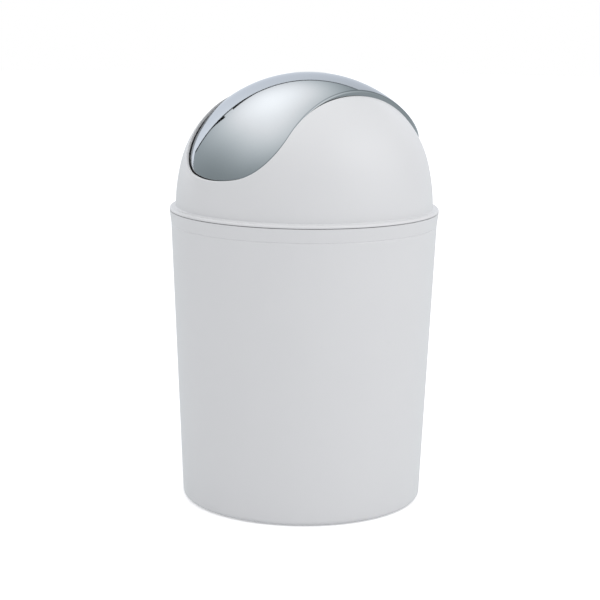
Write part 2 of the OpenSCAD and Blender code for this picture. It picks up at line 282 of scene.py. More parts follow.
opening = Outline(OPENING_HALF_W, OPENING_Z, OPENING_CORNER_R, OPENING_SILL_R)
flap_line = Outline(FLAP_HALF_W, FLAP_Z, OPENING_CORNER_R - FLAP_SIDE_GAP,
                    OPENING_SILL_R - FLAP_SIDE_GAP)
print("opening's corners start", round(opening.corner_z, 2), "mm up")

# %% [markdown]
# ## The lid
# The dome is a surface of revolution with a U cut out of it from front to rear, which leaves
# two shoulders and a low band. At every bearing there is exactly one stretch of dome, from
# the flange up to the cut, so the grid's columns simply stop at the cut. The moulded lip is
# what makes the part look real: two small roundings, with the wall between them.

# %% The dome and its normals
def arc_setup(offset=0.0):
    """Centres and radii of the dome's two arcs, drawn in by an offset. The low arc starts at
    the flange with its normal DOME_LEAN above level. At DOME_TURN the top arc takes over; its
    centre lies on the low arc's radius there, so that both have the same normal."""
    lean, turn = np.radians(DOME_LEAN), np.radians(DOME_TURN)
    low = np.array([DOME_BASE_R - DOME_LOW_R * np.cos(lean), DOME_Z - DOME_LOW_R * np.sin(lean)])
    way = np.array([np.cos(turn), np.sin(turn)])
    top = low + (DOME_LOW_R - DOME_TOP_R) * way
    return low, top, DOME_LOW_R - offset, DOME_TOP_R - offset


def dome(bearing, tilt, offset=0.0):
    """Point of the dome where its normal is tilted tilt above level: on either arc,
    r = cr + R cos(tilt) and z = cz + R sin(tilt), turned to the bearing."""
    low, top, low_r, top_r = arc_setup(offset)
    on_low = tilt < np.radians(DOME_TURN)
    r = np.where(on_low, low[0] + low_r * np.cos(tilt), top[0] + top_r * np.cos(tilt))
    z = np.where(on_low, low[1] + low_r * np.sin(tilt), top[1] + top_r * np.sin(tilt))
    return np.stack([r * np.cos(bearing), r * np.sin(bearing), z + 0 * bearing], -1)


def dome_normal(bearing, tilt):
    """Unit normal of the dome: level part cos(tilt) at the bearing, upright part sin(tilt)."""
    return np.stack([np.cos(tilt) * np.cos(bearing), np.cos(tilt) * np.sin(bearing),
                     np.sin(tilt) + 0 * bearing], -1)


def tilt_from(points):
    """Bearing and tilt of the dome point nearest to each given point: the tilt is the angle
    above level of the line from the centre of either arc."""
    low, top, _, _ = arc_setup()
    r, z = np.hypot(points[..., 0], points[..., 1]), points[..., 2]
    t_low = np.arctan2(z - low[1], r - low[0])
    t_top = np.arctan2(z - top[1], r - top[0])
    tilt = np.where(t_low < np.radians(DOME_TURN), t_low, t_top)
    return np.arctan2(points[..., 1], points[..., 0]), tilt


def cut_tilt(bearing, outline, halvings=50):
    """Tilt at which each column of the dome meets the cut, found by halving the stretch
    between the flange and the top again and again."""
    lo, hi = np.full_like(bearing, np.radians(DOME_LEAN)), np.full_like(bearing, 0.5 * np.pi)
    for _ in range(halvings):
        mid = 0.5 * (lo + hi)
        p = dome(bearing, mid)
        inside = (np.abs(p[:, 0]) < outline.half_w) & (p[:, 2] > outline.edge(p[:, 0]))
        lo, hi = np.where(inside, lo, mid), np.where(inside, mid, hi)
    return 0.5 * (lo + hi)


cut_ahead = np.degrees(cut_tilt(np.radians([-90.0]), opening))[0]
print("straight ahead the cut is where the dome leans", round(cut_ahead, 2), "degrees")

# %% A moulded lip
def unit(v):
    """Each vector divided by its length."""
    return v / np.linalg.norm(v, axis=-1, keepdims=True)


def fillet(edge, n1, n2, radius, steps):
    """Rows of points that round an edge between two faces with unit normals n1 and n2. The
    arc's centre is edge - radius (n1 + n2) / (1 + n1.n2), and its points lie a radius away
    from it along directions that turn evenly from n1 to n2."""
    dot = (n1 * n2).sum(-1, keepdims=True)
    centre = edge - radius * (n1 + n2) / (1 + dot)
    angle = np.arccos(np.clip(dot, -1, 1))
    rows = []
    for t in np.linspace(0, 1, steps):
        way = (np.sin((1 - t) * angle) * n1 + np.sin(t * angle) * n2) / np.sin(angle)
        rows.append(centre + radius * way)
    return np.stack(rows)


def soft_edge(start, edge, end, steps):
    """Rows along the curve (1-t)^2 start + 2t(1-t) edge + t^2 end. It leaves one face and
    meets the other smoothly, but may be wide on one and narrow on the other."""
    t = np.linspace(0, 1, steps)[:, None, None]
    return (1 - t) ** 2 * start + 2 * t * (1 - t) * edge + t ** 2 * end


right_edge = fillet(np.zeros((1, 3)), np.array([[1.0, 0, 0]]), np.array([[0, 0, 1.0]]), 1.0, 3)
print("a 1 mm fillet starts", round(float(np.linalg.norm(right_edge[0])), 2), "mm from a right edge")

# %% Make the lid
LID_COLS, LID_OUT_ROWS, LID_IN_ROWS, LIP_ROWS, INNER_LIP_ROWS = 608, 46, 26, 11, 6
LIP_REACH, LIP_DEPTH, INNER_LIP_R = 0.9, 0.35, 0.3
# The flange is a little lower than the solid's, with an eased edge and a fillet at its root,
# and its section ends as far above the solid's flange.
FLANGE_DROP, FLANGE_EASE, FLANGE_ROOT_R = 0.4, 0.15, 0.7
# Inside, a small slope leads from the dome's wall to the skirt's.
SLOPE_FROM, SLOPE_TO, INNER_START = 0.5, 0.2, 0.3
# Shares of the way from the flange to the lip, closer together next to the lip.
OUT_SHARES = np.append(np.linspace(0, 0.97, LID_OUT_ROWS), [0.985, 0.994])[:, None]
IN_SHARES = np.linspace(1, 0, LID_IN_ROWS)[:, None]


def lip_rows(bearing):
    """The lip of the cut, and the bearings and tilts at which it leaves the dome and meets the
    inner dome. It starts LIP_REACH before the cut and ends LIP_DEPTH down the cut face, and a
    small fillet rounds the cut face into the inner dome."""
    tilt = cut_tilt(bearing, opening)
    edge, n_out = dome(bearing, tilt), dome_normal(bearing, tilt)
    mx, mz = opening.inward(edge[:, 0], edge[:, 2])
    n_cut = np.stack([mx, 0 * mx, mz], -1)
    dot = (n_out * n_cut).sum(-1, keepdims=True)
    back, down = -unit(n_cut - dot * n_out), -unit(n_out - dot * n_cut)
    leaves = tilt_from(edge + LIP_REACH * back)
    inner = edge + down * LID_WALL / np.sqrt(1 - dot ** 2)
    lip = np.concatenate([soft_edge(dome(*leaves), edge, edge + LIP_DEPTH * down, LIP_ROWS),
                          fillet(inner, n_cut, -n_out, INNER_LIP_R, INNER_LIP_ROWS)])
    return lip, leaves, tilt_from(lip[-1])


def flange_profile():
    """The section below the dome, from its inside down the skirt and out over the flange.
    Each corner is a distance from the axis, a height and a rounding."""
    inner_r, skirt_in_r = DOME_BASE_R - LID_WALL, SKIRT_R - SKIRT_T
    skirt_z, flange_z = SEAM_Z - SKIRT_H, DOME_Z - FLANGE_DROP
    return rounded([
        (inner_r, DOME_Z - INNER_START, 0), (inner_r, SEAM_Z + SLOPE_FROM, 0.2),
        (skirt_in_r, SEAM_Z + SLOPE_TO, 0.2), (skirt_in_r, skirt_z, 0.4),
        (SKIRT_R, skirt_z, 0.5), (SKIRT_R, SEAM_Z, 0.15), (RIM_R, SEAM_Z, 0.08),
        (RIM_R, flange_z, FLANGE_EDGE_R - FLANGE_EASE), (DOME_BASE_R, flange_z, FLANGE_ROOT_R),
        (DOME_BASE_R, DOME_Z + FLANGE_DROP, 0),
    ], step=0.3)


def lid_grid():
    """The lid as one closed profile per bearing: dome, lip, inner dome, skirt and flange,
    and back to the dome. The flange's profile ends a little way up the dome, so the dome's
    first two rows are left out."""
    bearing = np.linspace(0, 2 * np.pi, LID_COLS, endpoint=False)
    lip, (out_bearing, out_tilt), (in_bearing, in_tilt) = lip_rows(bearing)
    lean = np.radians(DOME_LEAN)
    outer = dome(out_bearing[None] + 0 * OUT_SHARES, lean + (out_tilt[None] - lean) * OUT_SHARES)
    inner = dome(in_bearing[None] + 0 * IN_SHARES, lean + (in_tilt[None] - lean) * IN_SHARES,
                 LID_WALL)
    low = flange_profile()
    along = np.linspace(0, 1, len(low))[:, None]
    shift = (out_bearing - in_bearing + np.pi) % (2 * np.pi) - np.pi
    turned_by = in_bearing[None] + along * shift[None]
    flange = np.stack([low[:, :1] * np.cos(turned_by), low[:, :1] * np.sin(turned_by),
                       low[:, 1:] + 0 * turned_by], -1)
    return np.concatenate([outer[2:], lip, inner[1:-1], flange])


lid_rows = lid_grid()
lid_points = lid_rows.reshape(-1, 3)
lid_faces = outward(lid_points, [grid_faces(len(lid_rows), LID_COLS, wrap_rows=True, wrap_cols=True)])
make_piece("lid_skin", lid_points, lid_faces, "lid", "lid_dome")

# %% [markdown]
# ## Plates with a hole
# The flap swings on two plates that hang under the lid's shoulders. Each is a plate with a
# round bore, and its outline follows the dome above and is rounded below. The flap's ears
# and the ribs that hold its weights are such plates too, so one function makes them all.
# A plate with one hole is a ring: its grid runs round the bore, and from the bore's wall out
# over one face, across the rim, and back over the other face.

# %% Rows of a plate with a hole
def reach_to(inside, angle, x, at, most=60.0, halvings=45):
    """Distance from the bore's axis to a plate's outline along each angle in the YZ plane,
    found by halving: inside says whether points (x, y, z) belong to the plate."""
    lo, hi = np.zeros_like(angle), np.full_like(angle, most)
    for _ in range(halvings):
        mid = 0.5 * (lo + hi)
        y, z = at[0] + mid * np.cos(angle), at[1] + mid * np.sin(angle)
        hit = inside(np.stack([np.full_like(mid, x), y, z], -1))
        lo, hi = np.where(hit, mid, lo), np.where(hit, hi, mid)
    return 0.5 * (lo + hi)


def holed_plate(inside, at, bore, x0, x1, edge=0.3, cols=160):
    """Rows from the bore's wall over the face at x0, the rim and the face at x1. On a face the
    distance from the axis grows from the bore to the outline by shares, and edge is the width
    of the small bevels, which smooth shading turns into roundings."""
    angle = np.linspace(0, 2 * np.pi, cols, endpoint=False)
    out0, out1 = (reach_to(inside, angle, x, at) for x in (x0, x1))
    near, flat = bore + edge, 0 * angle
    shares = (0.0, 0.1, 0.5, 0.9, 1.0)
    rows = [(x0 + edge, bore + flat)]
    rows += [(x0, near + (out0 - edge - near) * share) for share in shares]
    rows += [(x0 + edge, out0), (0.5 * (x0 + x1), 0.5 * (out0 + out1)), (x1 - edge, out1)]
    rows += [(x1, near + (out1 - edge - near) * share) for share in reversed(shares)]
    rows += [(x1 - edge, bore + flat)]
    return np.stack([np.stack([x + flat, at[0] + r * np.cos(angle), at[1] + r * np.sin(angle)], -1)
                     for x, r in rows])


washer = holed_plate(lambda p: np.hypot(p[:, 1], p[:, 2]) < 5.0, (0, 0), 1.0, 0.0, 2.0)
print("a washer made so has", washer.shape[0], "rows of", washer.shape[1], "points")

def add_plate(name, rows, side, body, node, move=None):
    """Makes a piece of a holed plate, mirrored to its side, and moved if a move is given."""
    points = rows.reshape(-1, 3) * [side, 1, 1]
    points = move(points) if move else points
    faces = outward(points, [grid_faces(len(rows), rows.shape[1], True, True)])
    make_piece(name, points, faces, body, node)


# %% Make the brackets and their stops
STOP_ANGLE = np.radians(SWING_MAX) + np.arcsin((FINGER_HALF_W + STOP_R + STOP_GAP) / STOP_REACH)
STOP_Y, STOP_Z = STOP_REACH * np.sin(STOP_ANGLE), PIVOT_Z - STOP_REACH * np.cos(STOP_ANGLE)
PLATE_PAD, PEG_ROOT, PEG_COLS = 1.5, 0.5, 40
# Where in the dome's wall a bracket ends, as a share of its thickness from the outside.
ROOT_SHARE = 0.6


def in_bracket(p):
    """Is a point under the dome's outside by ROOT_SHARE of its wall, between the plate's two
    sides and above its foot? The lower corners are those of a superellipse of the sixth
    power."""
    bearing, tilt = tilt_from(p)
    root = dome(bearing, tilt, ROOT_SHARE * LID_WALL)
    under = ((root - p) * dome_normal(bearing, tilt)).sum(-1) > 0
    y = p[:, 1] / (STOP_Y + STOP_R + PLATE_PAD)
    z = (p[:, 2] - PIVOT_Z) / (STOP_Z - STOP_R - PLATE_PAD - PIVOT_Z)
    return under & (y ** 6 + np.maximum(z, 0) ** 6 < 1)


peg = rounded([(0, EAR_X, 0), (STOP_R, EAR_X, 0.35), (STOP_R, BRACKET_X + PEG_ROOT, 0.1),
               (0, BRACKET_X + PEG_ROOT, 0)])
plate = holed_plate(in_bracket, (0, PIVOT_Z), BUSH_R + SKIN_GAP, BRACKET_X, BRACKET_X + BRACKET_T)
for side, word in ((-1, "left"), (1, "right")):
    add_plate("lid_bracket_" + word, plate, side, "lid", "lid_dome")
    for front, end in ((-1, "front"), (1, "rear")):
        points, faces = lathe(peg, PEG_COLS, "x", (0, front * STOP_Y, STOP_Z))
        points = points * [side, 1, 1]
        faces = outward(points, faces)
        make_piece(f"lid_stop_{word}_{end}", points, faces, "lid", "lid_dome")

# %% [markdown]
# ## The flap
# The flap's cover is a barrel: curved strongly from front to rear and gently across, like a
# slice of a rugby ball. Its mirror finish shows every fault of its shape, so the grid is laid
# in the barrel's own coordinates: x across it, and the angle round its axis. The grid's four
# sides are placed first, exactly along the lip, and the inside is filled in between them.

# %% The barrel
CROWN_EXTRA = FLAP_CROWN_R - FLAP_R


def barrel_radius(x, r):
    """Radius at x of the barrel of middle radius r: sqrt((r + extra)^2 - x^2) - extra, where
    the extra is how much larger the crown's radius is than the middle one."""
    return np.sqrt((r + CROWN_EXTRA) ** 2 - x ** 2) - CROWN_EXTRA


def barrel(x, angle, r):
    """Point (x, R sin(angle), centre + R cos(angle)) of the barrel of middle radius r, where R
    is its radius at x."""
    radius = barrel_radius(x, r)
    return np.stack([x, radius * np.sin(angle), FLAP_CENTRE_Z + radius * np.cos(angle)], -1)


def onto(points, r):
    """Moves points straight in or out from the barrel's axis until they lie on radius r."""
    angle = np.arctan2(points[:, 1], points[:, 2] - FLAP_CENTRE_Z)
    return barrel(points[:, 0], angle, r)


def barrel_normal(x, angle):
    """Unit normal of the outer barrel: leant sideways by arcsin(x / crown)."""
    lean = np.arcsin(x / FLAP_CROWN_R)
    return np.stack([np.sin(lean), np.cos(lean) * np.sin(angle), np.cos(lean) * np.cos(angle)], -1)


def flap_edge(outline, across, along, r):
    """The outline on a barrel, as four sides that run front, right, rear, left. Along an end
    x = half_w sin(u), which crowds its points where it turns into the sides, and the angle
    there is arccos of the edge's height over the barrel's radius. Returns x, angle and the
    inward direction for each point; a corner belongs to the side that starts with it."""
    u = np.linspace(-0.5 * np.pi, 0.5 * np.pi, across)
    x = outline.half_w * np.sin(u)
    z = outline.edge(x)
    end = np.arccos(np.clip((z - FLAP_CENTRE_Z) / barrel_radius(x, r), -1, 1))
    side_angle = np.linspace(-end[-1], end[-1], along)
    vx, vz = outline.inward(x, np.minimum(z, outline.corner_z - 1e-9))
    ones = np.ones(along)
    front_in = np.stack([vx, 0 * vx, vz], -1)
    right_in = np.stack([-ones, 0 * ones, 0 * ones], -1)
    xs = [x, outline.half_w * ones, x[::-1], -outline.half_w * ones]
    angles = [-end, side_angle, end[::-1], side_angle[::-1]]
    ins = [front_in, right_in, front_in[::-1], -right_in]
    return [np.concatenate([side[:-1] for side in sides]) for sides in (xs, angles, ins)]


def fill_loop(loop, across, along):
    """Fills a loop of across + along + across + along - 4 values: each inner value is the
    blend of its two rows plus the blend of its two columns, less the blend of the corners."""
    a, b = across - 1, along - 1
    front, right = loop[:a + 1], loop[a:a + b + 1]
    rear = loop[a + b:2 * a + b + 1][::-1]
    left = np.append(loop[2 * a + b:], loop[0])[::-1]
    s, t = np.linspace(0, 1, across)[None, :], np.linspace(0, 1, along)[:, None]
    lines = (1 - t) * front[None] + t * rear[None] + (1 - s) * left[:, None] + s * right[:, None]
    corners = ((1 - s) * (1 - t) * front[0] + s * (1 - t) * front[-1]
               + (1 - s) * t * rear[0] + s * t * rear[-1])
    return lines - corners


def hang(points):
    """Turns upright points by the hanging angle about the pivot's axis, which runs along X."""
    a = np.radians(HANG_ANGLE)
    y, z = points[..., 1], points[..., 2] - PIVOT_Z
    return np.stack([points[..., 0], y * np.cos(a) - z * np.sin(a),
                     PIVOT_Z + y * np.sin(a) + z * np.cos(a)], -1)


def loop_numbers(across, along):
    """Numbers of a patch's border points, in the order that flap_edge gives them."""
    grid = np.arange(across * along).reshape(along, across)
    return np.concatenate([grid[0, :-1], grid[:-1, -1], grid[-1, :0:-1], grid[:0:-1, 0]])


side_r = float(barrel_radius(FLAP_HALF_W, FLAP_R))
print("barrel's radius:", FLAP_R, "mm in the middle,", round(side_r, 2), "at the sides")

# %% Make the flap's cover
EDGE_ROWS, LOWER_ROWS, INNER_ROWS = 11, 5, 4


def shell_rows(outline, r_out, r_in, wall, setback, edge_r, across, along):
    """The rows between the outer and the inner patch: a fillet, the side wall down to r_in, a
    small fillet, and with a wall also the lip's flat width and an inner wall. The outer fillet
    starts and ends a setback from the edge, so its radius is setback / tan(half the angle
    between the two normals), which is large along the sides and small at the ends."""
    x, angle, inward = flap_edge(outline, across, along, r_out)
    edge, n = barrel(x, angle, r_out), barrel_normal(x, angle)
    n_cut = -inward
    dot = (n * n_cut).sum(-1, keepdims=True)
    down = -unit(n - dot * n_cut)
    deep = (r_out - r_in) / np.sqrt(1 - dot ** 2)
    outer_r = setback / np.tan(0.5 * np.arccos(np.clip(dot, -1, 1)))
    rows = [fillet(edge, n, n_cut, outer_r, EDGE_ROWS),
            fillet(edge + down * deep, n_cut, -n, edge_r, LOWER_ROWS)]
    if wall:
        lip_in = onto(edge + down * deep - n_cut * wall, r_in)
        rows += [fillet(lip_in, -n, -n_cut, edge_r, INNER_ROWS), onto(lip_in, r_out - wall)[None]]
    return np.concatenate(rows)


def flap_shell(outline, r_out, r_in, wall, setback, edge_r, across, along):
    """A tray on the barrel: an outer patch at r_out, the rows round its edge, and an inner
    patch at a wall's depth. With wall zero it is a plain curved plate from r_out to r_in."""
    rows = shell_rows(outline, r_out, r_in, wall, setback, edge_r, across, along)
    r_floor = r_out - wall if wall else r_in
    rows[0], rows[-1] = onto(rows[0], r_out), onto(rows[-1], r_floor)
    points, faces, first = [], [], 0
    for border, r in ((rows[0], r_out), (rows[-1], r_floor)):
        angle = np.arctan2(border[:, 1], border[:, 2] - FLAP_CENTRE_Z)
        inner_x, inner_angle = (fill_loop(loop, across, along) for loop in (border[:, 0], angle))
        points.append(barrel(inner_x, inner_angle, r).reshape(-1, 3))
        faces.append(grid_faces(along, across, first=first))
        first += across * along
    faces[1] = faces[1][:, ::-1]
    ring = loop_numbers(across, along)
    between = rows[1:-1]
    numbers = np.arange(between.shape[0] * between.shape[1]).reshape(between.shape[:2]) + first
    strips = np.concatenate([ring[None], numbers, ring[None] + across * along])
    nxt = np.roll(strips, -1, axis=1)
    quads = np.stack([strips[:-1], strips[1:], nxt[1:], nxt[:-1]], -1).reshape(-1, 4)
    points.append(between.reshape(-1, 3))
    points = hang(np.concatenate(points))
    faces.append(quads)
    return points, outward(points, faces)


LINER_INNER_R = LINER_R - LINER_T
cover_points, cover_faces = flap_shell(flap_line, FLAP_R, LINER_INNER_R, COVER_T,
                                       setback=0.8, edge_r=0.3, across=112, along=208)
make_piece("flap_cover_skin", cover_points, cover_faces, "flap", "flap_cover")

# %% [markdown]
# ## The liner and what it carries
# Inside the chrome cover sits a white liner: the same barrel, a little smaller, as a plain
# curved plate. Two ears under it take the pivot pins, and the finger below each ear meets the
# lid's stops. Four small ribs hold the two steel weights that bring the flap back upright.

# %% Make the liner, its ears and its ribs
liner_line = Outline(FLAP_HALF_W - LINER_INSET, FLAP_Z + LINER_INSET,
                     OPENING_CORNER_R - FLAP_SIDE_GAP - LINER_INSET,
                     OPENING_SILL_R - FLAP_SIDE_GAP - LINER_INSET)
liner_points, liner_faces = flap_shell(liner_line, LINER_R, LINER_INNER_R, 0,
                                       setback=0.25, edge_r=0.35, across=88, along=160)
make_piece("flap_liner_skin", liner_points, liner_faces, "flap", "flap_liner")
FINGER_REACH = STOP_REACH + STOP_R + STOP_GAP
LINER_MIDDLE_R = LINER_INNER_R + 0.5 * LINER_T


def in_barrel(p, r):
    """Is a point inside the barrel of middle radius r?"""
    return np.hypot(p[:, 1], p[:, 2] - FLAP_CENTRE_Z) < barrel_radius(p[:, 0], r)


def in_ear(p):
    """An ear is a round boss about the pin, a block from there up into the liner, and a
    round-ended finger below."""
    y, z = np.abs(p[:, 1]), p[:, 2] - PIVOT_Z
    boss = y ** 2 + z ** 2 < EAR_R ** 2
    block = (y < EAR_R) & (z >= 0)
    end = z + FINGER_REACH - FINGER_HALF_W
    finger = (y < FINGER_HALF_W) & (z < 0) & (end > 0) | (y ** 2 + end ** 2 < FINGER_HALF_W ** 2)
    return in_barrel(p, LINER_MIDDLE_R) & (boss | block | finger)


# A weight lies straight, so the front one's ends fix how far in from the liner both lie.
WEIGHT_Z, RIB_PAD = FLAP_Z + WEIGHT_RISE, 1.6
WEIGHT_SAG = FLAP_CROWN_R - np.sqrt(FLAP_CROWN_R ** 2 - (FRONT_WEIGHT_L / 2) ** 2)
WEIGHT_AXIS_R = LINER_INNER_R - WEIGHT_SAG - LINER_GAP - WEIGHT_R
WEIGHT_Y = np.sqrt(WEIGHT_AXIS_R ** 2 - (WEIGHT_Z - FLAP_CENTRE_Z) ** 2)


def in_rib(p):
    """A rib is a small block about its weight that runs out into the liner. Its corners are
    those of a superellipse of the eighth power."""
    y, z = np.abs(p[:, 1]) - WEIGHT_Y, (p[:, 2] - WEIGHT_Z) / (WEIGHT_R + RIB_PAD)
    y = np.maximum(-y / (WEIGHT_R + RIB_PAD), 0)
    return in_barrel(p, LINER_MIDDLE_R) & (y ** 8 + z ** 8 < 1)


ear = holed_plate(in_ear, (0, PIVOT_Z), PIN_R + SKIN_GAP, EAR_X, EAR_X + EAR_T, cols=240)
rib_x0, rib_x1 = 0.5 * (RIB_SPAN - RIB_T), 0.5 * (RIB_SPAN + RIB_T)
for side, word in ((-1, "left"), (1, "right")):
    add_plate("flap_ear_" + word, ear, side, "flap", "flap_liner", hang)
    for front, end in ((-1, "front"), (1, "rear")):
        rib = holed_plate(in_rib, (front * WEIGHT_Y, WEIGHT_Z), WEIGHT_R + SKIN_GAP,
                          rib_x0, rib_x1, edge=0.25, cols=120)
        add_plate(f"flap_rib_{word}_{end}", rib, side, "flap", "flap_liner", hang)

# %% [markdown]
# ## Pins, bushes and weights
# The flap turns on two headed pins in flanged bushes, and two steel rods clipped between its
# ribs bring it back to the middle. All are turned or cut from rod, so each is a short profile
# turned once round an axis along X, with the small chamfers that a lathe leaves.

# %% Make the turned pieces
TURNED_COLS, BUSH_ROUND = 56, 0.12


def turned(name, corners, at, body, node, side=1, hung=False):
    """A lathe piece about an axis along X, moved to at, mirrored to its side, and turned with
    the flap if it hangs on it. Each corner is a radius, an x and a rounding."""
    points, faces = lathe(rounded(corners), TURNED_COLS, "x", at)
    points = points * [side, 1, 1]
    points = hang(points) if hung else points
    make_piece(name, points, outward(points, faces), body, node)


def ring_piece(name, loop, at, body, node, side=1):
    """A closed profile (radius, x) turned about an axis along X into a ring: a point is
    (x, r cos a, r sin a)."""
    loop = rounded([(r, x, BUSH_ROUND) for r, x in loop + loop[:1]])[:-1]
    a = np.linspace(0, 2 * np.pi, TURNED_COLS, endpoint=False)[None, :]
    r, x = loop[:, 0][:, None], loop[:, 1][:, None]
    rows = np.stack([side * (x + 0 * a), r * np.cos(a), r * np.sin(a)], -1) + np.asarray(at)
    points = rows.reshape(-1, 3)
    faces = outward(points, [grid_faces(len(loop), TURNED_COLS, True, True)])
    make_piece(name, points, faces, body, node)


pivot, outer_x = (0, 0, PIVOT_Z), BRACKET_X + BRACKET_T
head_x0, head_x1 = EAR_X - PIN_HEAD_T, EAR_X - SKIN_GAP
pin_corners = [(0, head_x0, 0), (PIN_HEAD_R, head_x0, 0.45), (PIN_HEAD_R, head_x1, 0.08),
               (PIN_R, head_x1, 0.08), (PIN_R, outer_x, 0.3), (0, outer_x, 0)]
bush_in_r, bush_out_r = PIN_R + PIN_CLEARANCE, BUSH_R + BUSH_WALL
flange_x0, flange_x1 = BRACKET_X - BUSH_FLANGE_T, BRACKET_X - SKIN_GAP
bush_loop = [(bush_in_r, flange_x0), (bush_out_r, flange_x0), (bush_out_r, flange_x1),
             (BUSH_R, flange_x1), (BUSH_R, outer_x), (bush_in_r, outer_x)]
for side, word in ((-1, "left"), (1, "right")):
    turned("pin_" + word, pin_corners, pivot, "flap", "pivot_pin_" + word, side, hung=True)
    ring_piece("bush_" + word, bush_loop, pivot, "lid", "pivot_bush_" + word, side)

for word, front, length in (("front", -1, FRONT_WEIGHT_L), ("rear", 1, REAR_WEIGHT_L)):
    rod = [(0, -length / 2, 0), (WEIGHT_R, -length / 2, 0.3), (WEIGHT_R, length / 2, 0.3),
           (0, length / 2, 0)]
    turned("weight_" + word, rod, (0, front * WEIGHT_Y, WEIGHT_Z), "flap", "flap_weight_" + word,
           hung=True)

# %% [markdown]
# ## Shader maths as Python
# A node graph is easier to read as a formula. Wire wraps one output socket, and its operators
# add the Math nodes. Tree keeps the node tree of a material or of the world, and its node
# method adds any other node: settings first, then what goes into its sockets.

# %% A socket that can be added and multiplied
def feed(tree, socket, value):
    """Links a Wire to an input socket, or sets a plain value on it."""
    if isinstance(value, Wire):
        tree.links.new(value.socket, socket)
    else:
        socket.default_value = value


class Wire:
    """One output socket of a node tree, with the operators that the finishes use."""

    def __init__(self, tree, socket):
        self.tree, self.socket = tree, socket

    def math(self, operation, *values):
        """A Math node of the given operation on one or two values."""
        node = self.tree.nodes.new("ShaderNodeMath")
        node.operation = operation
        for socket, value in zip(node.inputs, values):
            feed(self.tree, socket, value)
        return Wire(self.tree, node.outputs[0])

    def __add__(self, other):
        return self.math("ADD", self, other)

    def __radd__(self, other):
        return self.math("ADD", other, self)

    def __sub__(self, other):
        return self.math("SUBTRACT", self, other)

    def __rsub__(self, other):
        return self.math("SUBTRACT", other, self)

    def __mul__(self, other):
        return self.math("MULTIPLY", self, other)

    def __rmul__(self, other):
        return self.math("MULTIPLY", other, self)

    def __truediv__(self, other):
        return self.math("DIVIDE", self, other)

    def __lt__(self, other):
        return self.math("LESS_THAN", self, other)

    def __gt__(self, other):
        return self.math("GREATER_THAN", self, other)

    def exp(self):
        """e to the power of the value."""
        return self.math("EXPONENT", self)

    def power(self, by):
        """The value to a power."""
        return self.math("POWER", self, by)

    def size(self):
        """The value without its sign."""
        return self.math("ABSOLUTE", self)

    def clamp(self, low, high):
        """The value, kept from low to high."""
        return self.math("MINIMUM", self.math("MAXIMUM", self, low), high)


class Tree:
    """A node tree being built, for a material or for the world."""

    def __init__(self, owner):
        owner.use_nodes = True
        self.tree = owner.node_tree
        self.tree.nodes.clear()

    def node(self, kind, settings=None, inputs=None, out=0):
        """Adds a node: its settings, then a value or a Wire for each named or numbered input.
        Returns the named or numbered output, or nothing where the node has none."""
        node = self.tree.nodes.new("ShaderNode" + kind)
        for key, value in (settings or {}).items():
            setattr(node, key, value)
        for key, value in (inputs or {}).items():
            feed(self.tree, node.inputs[key], value)
        return Wire(self.tree, node.outputs[out]) if len(node.outputs) else None

    def mix(self, factor, a, b):
        """A colour between a and b. A Mix node's colours are its inputs 6 and 7."""
        return self.node("Mix", {"data_type": "RGBA"}, {0: factor, 6: a, 7: b}, out=2)

    def noise(self, where, scale, detail=2.0, roughness=0.5):
        """Smooth noise from 0 to 1 in features about 1 / scale metres across."""
        return self.node("TexNoise", None, {"Vector": where, "Scale": scale, "Detail": detail,
                                            "Roughness": roughness})

    def bump(self, height, depth):
        """A normal that follows a height from 0 to 1, which stands for a depth in metres."""
        return self.node("Bump", None, {"Strength": 1.0, "Distance": depth, "Height": height})


def finish(name, build):
    """A new material whose surface is what build returns for its tree."""
    material = bpy.data.materials.new(name)
    tree = Tree(material)
    tree.node("OutputMaterial", None, {"Surface": build(tree)})
    print(f"{name}: {len(tree.tree.nodes)} nodes")
    return material


# %% [markdown]
# ## White moulded plastic
# The bin is satin white plastic. Up close such a surface has a very fine grain from the
# mould, a slight waviness where the wall cooled, and a colour that is not quite even. All
# three are noise at different sizes: grain and waviness go to Bump and Roughness, and the
# colour drifts between two whites that are close together.

# %% The plastics
BROAD_SCALE, WAVE_SCALE, WAVE_HEIGHT = 14.0, 55.0, 0.9
BROAD_SHARE, WAVE_SHARE = 0.7, 0.3
WAVE_ROUGH, GRAIN_ROUGH, PLASTIC_IOR = 0.08, 0.05, 1.49


def moulded(light, dark, rough, grain, depth):
    """Satin plastic between two colours, with grain of so many features per metre. The grain
    is depth metres deep."""
    def build(tree):
        where = tree.node("TexCoord", out="Object")
        broad = tree.noise(where, BROAD_SCALE, detail=3.0)
        wave = tree.noise(where, WAVE_SCALE, detail=2.0)
        fine = tree.noise(where, grain, detail=1.0)
        return tree.node("BsdfPrincipled", None, {
            "Base Color": tree.mix(broad * BROAD_SHARE + wave * WAVE_SHARE, light, dark),
            "Roughness": rough + (wave - 0.5) * WAVE_ROUGH + (fine - 0.5) * GRAIN_ROUGH,
            "Normal": tree.bump(fine + wave * WAVE_HEIGHT, depth), "IOR": PLASTIC_IOR})
    return build


white_plastic = finish("white_plastic", moulded(
    light=(0.72, 0.72, 0.725, 1), dark=(0.69, 0.69, 0.70, 1), rough=0.30, grain=1900.0, depth=12e-6))
liner_plastic = finish("liner_plastic", moulded(
    light=(0.71, 0.71, 0.72, 1), dark=(0.66, 0.66, 0.68, 1), rough=0.40, grain=1400.0, depth=10e-6))
nylon = finish("nylon", moulded(
    light=(0.72, 0.68, 0.56, 1), dark=(0.64, 0.60, 0.48, 1), rough=0.38, grain=2600.0, depth=6e-6))

# %% [markdown]
# ## Chrome plating and bare steel
# Plated plastic is a mirror with faint ripples, because the plastic under it is never quite
# flat, and with a film of handling that dulls it in places. Turned steel keeps the fine rings
# of the tool, which run round the piece, so they depend on x alone.

